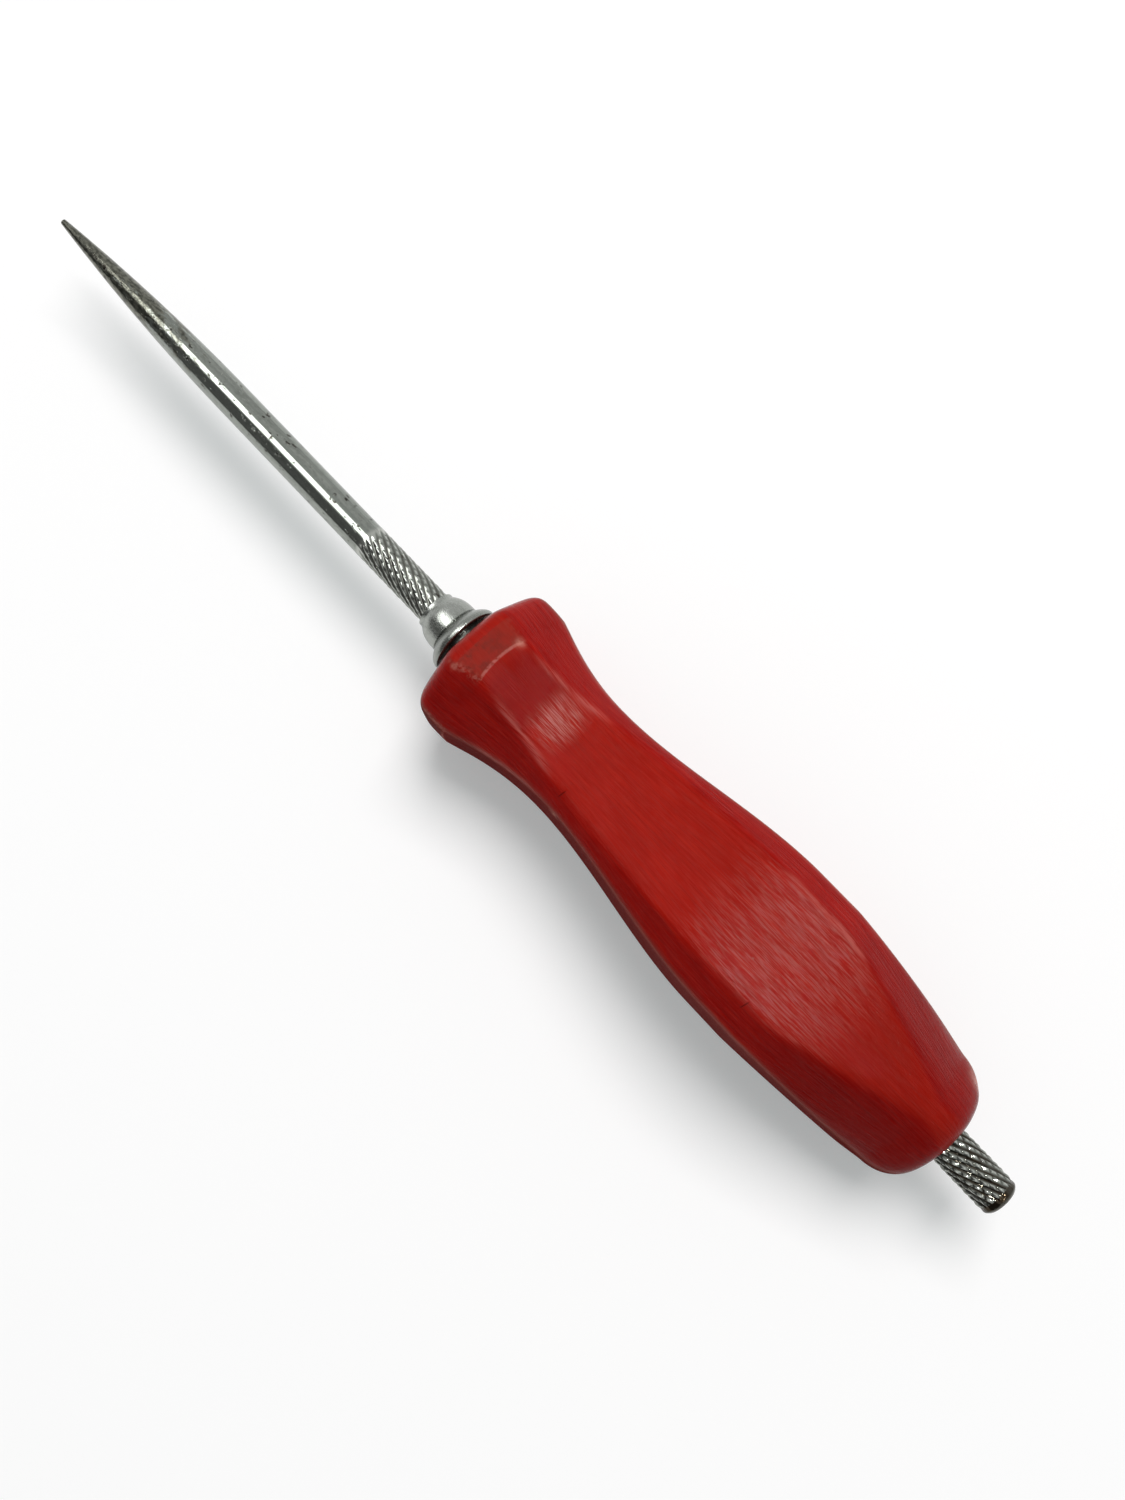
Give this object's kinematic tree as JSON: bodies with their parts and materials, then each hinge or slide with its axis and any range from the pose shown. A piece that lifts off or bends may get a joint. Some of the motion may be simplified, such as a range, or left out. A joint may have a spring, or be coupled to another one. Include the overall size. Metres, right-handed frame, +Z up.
{
  "type": "scratch awl",
  "caption": "Hand awl: a round steel blade with a fine point runs through a square, waisted hard plastic handle, behind a flanged ferrule, and ends in a knurled tail.",
  "frame": {"origin": "bottom centre of the whole awl's box, as it lies on a flat of its handle", "axes": "+X along the tool from its point to its knurled tail, +Z up, square to the flat that it lies on"},
  "size_m": [0.1782, 0.0212, 0.0212],
  "materials": {
    "tool_steel": "plain rod with a worn sheen, dark specks and grimy knurling",
    "bright_plating": "scratched bright plating",
    "red_hard_plastic": "semi-gloss red with fine lengthwise scratches and pale worn edges"
  },
  "bodies": {
    "root": {"blade": "tool_steel", "ferrule": "bright_plating", "handle": "red_hard_plastic"}
  },
  "joints": []
}
